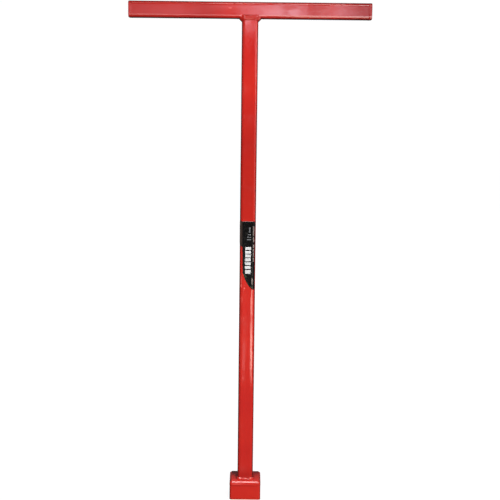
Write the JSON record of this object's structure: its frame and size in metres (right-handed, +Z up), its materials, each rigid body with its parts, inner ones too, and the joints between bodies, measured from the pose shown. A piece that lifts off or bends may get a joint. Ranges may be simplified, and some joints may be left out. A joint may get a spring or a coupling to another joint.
{
  "type": "post driver",
  "caption": "Rigid T-handled post driver of welded square steel tube: cross handle, long shaft and a short open square socket head, painted red, with a dark label on the shaft.",
  "frame": {"origin": "centre of the socket's open bottom rim", "axes": "+Z up the shaft to the handle, X along the cross handle, -Y towards the labelled front face"},
  "size_m": [0.37, 0.0502, 0.7901],
  "materials": {
    "red_paint": "thick high-gloss red enamel with light orange peel",
    "red_paint_weld": "the same enamel over rippled weld beads",
    "label_vinyl": null
  },
  "bodies": {
    "root": {"handle_tube": "red_paint", "handle_end_cap_left": "red_paint", "handle_end_cap_right": "red_paint", "end_cap_weld_left": "red_paint_weld", "end_cap_weld_right": "red_paint_weld", "handle_weld_left": "red_paint_weld", "handle_weld_right": "red_paint_weld", "handle_weld_front": "red_paint_weld", "handle_weld_back": "red_paint_weld", "shaft_tube": "red_paint", "label": "label_vinyl", "foot_weld_left": "red_paint_weld", "foot_weld_right": "red_paint_weld", "foot_weld_front": "red_paint_weld", "foot_weld_back": "red_paint_weld", "socket_top_plate": "red_paint", "socket_seam_weld_left": "red_paint_weld", "socket_seam_weld_right": "red_paint_weld", "socket_seam_weld_front": "red_paint_weld", "socket_seam_weld_back": "red_paint_weld", "socket_tube": "red_paint"}
  },
  "joints": []
}
